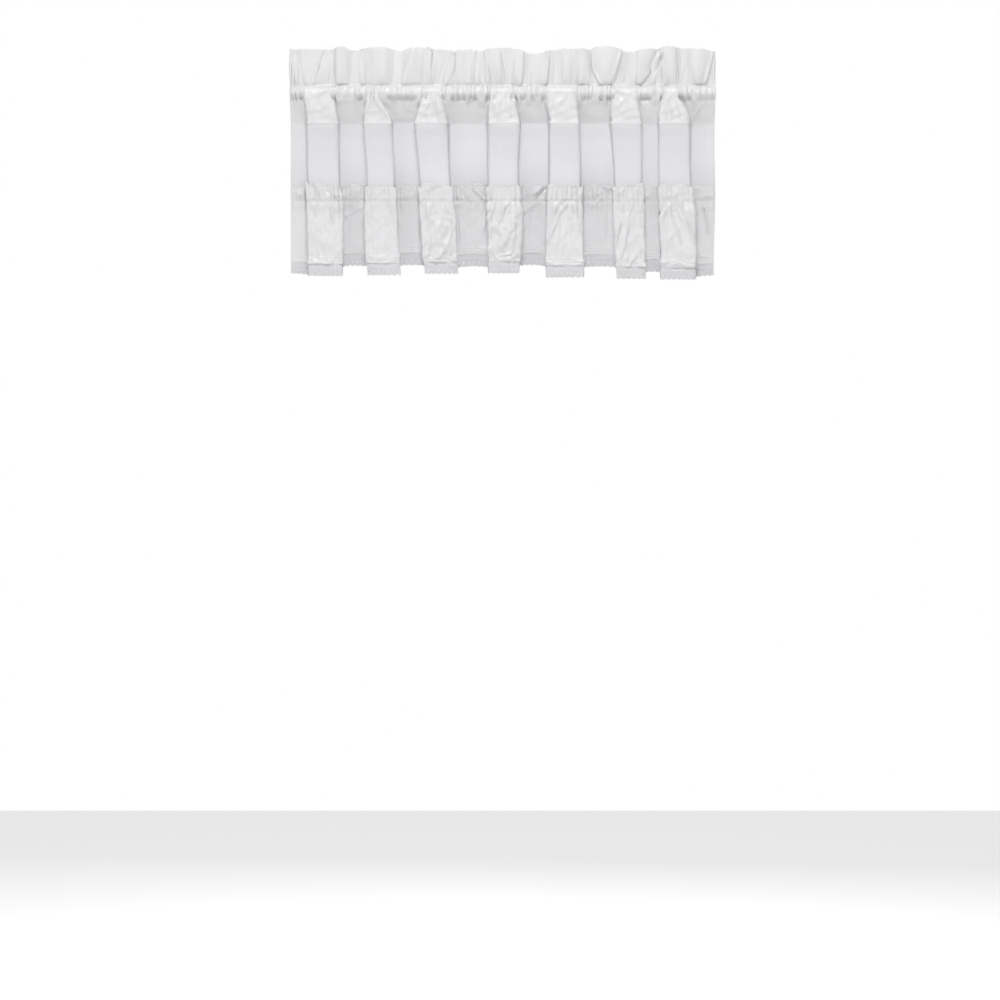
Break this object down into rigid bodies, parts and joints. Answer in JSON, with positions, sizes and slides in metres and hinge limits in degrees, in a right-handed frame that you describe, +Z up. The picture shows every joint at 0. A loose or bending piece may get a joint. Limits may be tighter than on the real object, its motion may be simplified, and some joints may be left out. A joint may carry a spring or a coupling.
{
  "type": "window valance",
  "caption": "White window valance gathered on a rod pocket, with a standing frill, a plain folded panel and a gathered ruffle edged with narrow lace.",
  "frame": {"origin": "on the axis of the rod that the pocket takes, at the middle of the valance's width", "axes": "+X along the rod, to the right as seen from the room; +Y towards the window, so the face of the valance looks along -Y; +Z up"},
  "size_m": [0.604, 0.0366, 0.328],
  "materials": {
    "white_cloth": "white cotton blend in a fine plain weave, matt with a faint sheen on the folds",
    "lace": "white cotton lace edging with small eyelets and a scalloped edge"
  },
  "bodies": {
    "root": {"heading": "white_cloth", "panel": "white_cloth", "ruffle": "white_cloth", "lace_edging": "lace"}
  },
  "joints": []
}
